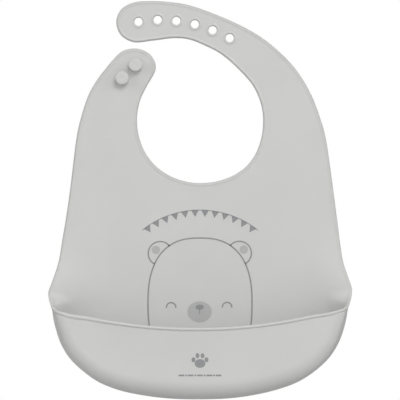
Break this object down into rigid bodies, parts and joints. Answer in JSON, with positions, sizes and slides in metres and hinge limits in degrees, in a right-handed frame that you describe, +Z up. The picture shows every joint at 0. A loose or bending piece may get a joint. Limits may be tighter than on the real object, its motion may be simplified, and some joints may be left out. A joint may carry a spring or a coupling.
{
  "type": "silicone bib",
  "caption": "Soft one-colour baby bib: thin beaded sheet with a neck opening, curling snap straps and a rounded catch pocket along the bottom.",
  "frame": {"origin": "middle of the neck opening, in the plane of the sheet's back", "axes": "+Z up as the bib hangs from the neck, +X to the right as seen from the front, front and pocket towards -Y"},
  "size_m": [0.2318, 0.0388, 0.3011],
  "materials": {
    "silicone": "soft matte silicone, light neutral grey, faint translucency",
    "ink": "thin pad-printed film, mid grey, matte"
  },
  "bodies": {
    "yoke": {"yoke_panel": "silicone"},
    "belly": {"belly_panel": "silicone", "face_print": "ink", "pocket_floor": "silicone", "pocket_left_wall": "silicone", "pocket_right_wall": "silicone"},
    "front_wall": {"pocket_front": "silicone", "pocket_mark": "ink"},
    "stud_root": {"stud_strap_root": "silicone"},
    "stud_tab": {"stud_strap_tab": "silicone", "stud_upper": "silicone", "stud_lower": "silicone"},
    "hole_root": {"hole_strap_root": "silicone"},
    "hole_lower": {"hole_strap_lower": "silicone"},
    "hole_middle": {"hole_strap_middle": "silicone"},
    "hole_upper": {"hole_strap_upper": "silicone"},
    "hole_tab": {"hole_strap_tab": "silicone"}
  },
  "joints": [
    {"name": "belly_fold", "type": "hinge", "parent": "yoke", "child": "belly", "pos_m": [0, -0.0014, -0.058], "axis": [-1, 0, 0], "range_deg": [-20, 70], "stiffness_Nm_per_rad": 0.03},
    {"name": "pocket_open", "type": "hinge", "parent": "belly", "child": "front_wall", "pos_m": [0, -0.037, -0.188], "axis": [1, 0, 0], "range_deg": [-25, 20], "stiffness_Nm_per_rad": 0.05, "deforming": ["pocket_left_wall", "pocket_right_wall"]},
    {"name": "stud_strap_curl", "type": "hinge", "parent": "yoke", "child": "stud_root", "pos_m": [-0.07, -0.0014, 0], "axis": [-1, 0, 0], "range_deg": [-12, 32], "stiffness_Nm_per_rad": 0.02},
    {"name": "stud_tab_curl", "type": "hinge", "parent": "stud_root", "child": "stud_tab", "pos_m": [-0.06694, -0.0014, 0.02047], "axis": [-0.9563, 0, 0.2924], "range_deg": [-12, 32], "stiffness_Nm_per_rad": 0.02},
    {"name": "hole_strap_curl", "type": "hinge", "parent": "yoke", "child": "hole_root", "pos_m": [0.06894, -0.0014, 0.01215], "axis": [-0.9848, 0, -0.1736], "range_deg": [-12, 28], "stiffness_Nm_per_rad": 0.02},
    {"name": "hole_lower_curl", "type": "hinge", "parent": "hole_root", "child": "hole_lower", "pos_m": [0.05871, -0.0014, 0.03812], "axis": [-0.8387, 0, -0.5446], "range_deg": [-12, 28], "stiffness_Nm_per_rad": 0.02},
    {"name": "hole_middle_curl", "type": "hinge", "parent": "hole_lower", "child": "hole_middle", "pos_m": [0.03914, -0.0014, 0.05803], "axis": [-0.5592, 0, -0.829], "range_deg": [-12, 28], "stiffness_Nm_per_rad": 0.02},
    {"name": "hole_upper_curl", "type": "hinge", "parent": "hole_middle", "child": "hole_upper", "pos_m": [0.0167, -0.0014, 0.06798], "axis": [-0.2385, 0, -0.9711], "range_deg": [-12, 28], "stiffness_Nm_per_rad": 0.02},
    {"name": "hole_tab_curl", "type": "hinge", "parent": "hole_upper", "child": "hole_tab", "pos_m": [-0.00998, -0.0014, 0.06928], "axis": [0.1426, 0, -0.9898], "range_deg": [-12, 28], "stiffness_Nm_per_rad": 0.02}
  ],
  "couplings": [
    {"joint": "stud_tab_curl", "follows": "stud_strap_curl", "ratio": 1},
    {"joint": "hole_lower_curl", "follows": "hole_strap_curl", "ratio": 1},
    {"joint": "hole_middle_curl", "follows": "hole_strap_curl", "ratio": 1},
    {"joint": "hole_upper_curl", "follows": "hole_strap_curl", "ratio": 1},
    {"joint": "hole_tab_curl", "follows": "hole_strap_curl", "ratio": 1}
  ]
}
